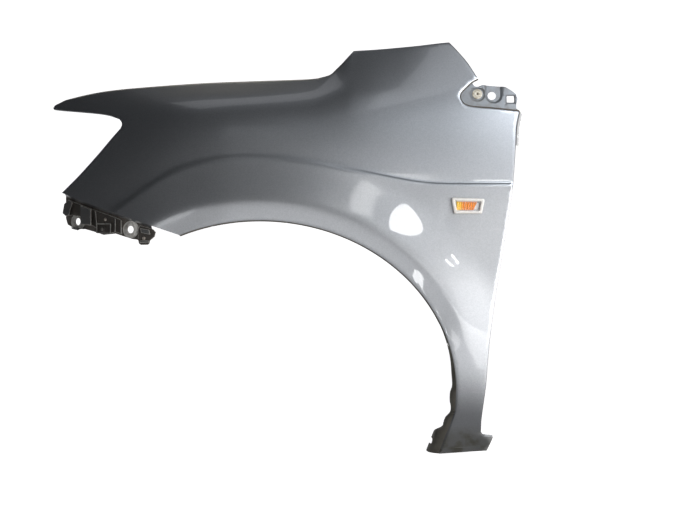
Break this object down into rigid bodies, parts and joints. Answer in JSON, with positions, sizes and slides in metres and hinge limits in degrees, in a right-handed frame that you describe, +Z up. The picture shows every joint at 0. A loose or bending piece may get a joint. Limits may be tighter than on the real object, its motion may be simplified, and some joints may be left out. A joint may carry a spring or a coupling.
{
  "type": "car front fender",
  "caption": "Left front fender of a small car with its side repeater lamp, cowl bracket grommet and plastic bumper guides",
  "frame": {"origin": "under the middle bolt pad of the hood rail, where the fender rests on the body's rail", "axes": "+X towards the rear of the car, +Y inboard (the painted side faces -Y), +Z up"},
  "size_m": [0.8818, 0.2484, 0.7401],
  "materials": {
    "panel_paint": "worn dark silver-grey paint on pressed steel, scratched and chipped, dirty inside",
    "guide_plastic": "black moulded plastic, dusty",
    "rivet_metal": "dull hollow rivet",
    "clip_plastic": "black nylon clip",
    "grommet_nylon": "off-white nylon",
    "lens_clear": "clear moulded lens",
    "filter_amber": "amber ribbed optic insert",
    "housing_plastic": "black moulded housing",
    "seal_rubber": "soft foam rubber",
    "clip_steel": "blued spring steel",
    "bulb_glass": "clear glass wedge bulb",
    "holder_plastic": "grey moulded plastic",
    "blade_brass": "plain brass blade"
  },
  "bodies": {
    "root": {"fender_panel": "panel_paint", "bumper_guide": "guide_plastic", "bumper_guide_end": "guide_plastic", "guide_rivet_front": "rivet_metal", "guide_rivet_rear": "rivet_metal", "guide_push_clip": "clip_plastic", "guide_push_pin": "clip_plastic", "cowl_grommet": "grommet_nylon", "repeater_lens": "lens_clear", "repeater_filter": "filter_amber", "repeater_housing": "housing_plastic", "repeater_gasket": "seal_rubber", "repeater_clip": "clip_steel", "repeater_bulb": "bulb_glass", "repeater_holder": "holder_plastic", "repeater_holder_seal": "seal_rubber", "repeater_terminal_upper": "blade_brass", "repeater_terminal_lower": "blade_brass"}
  },
  "joints": []
}
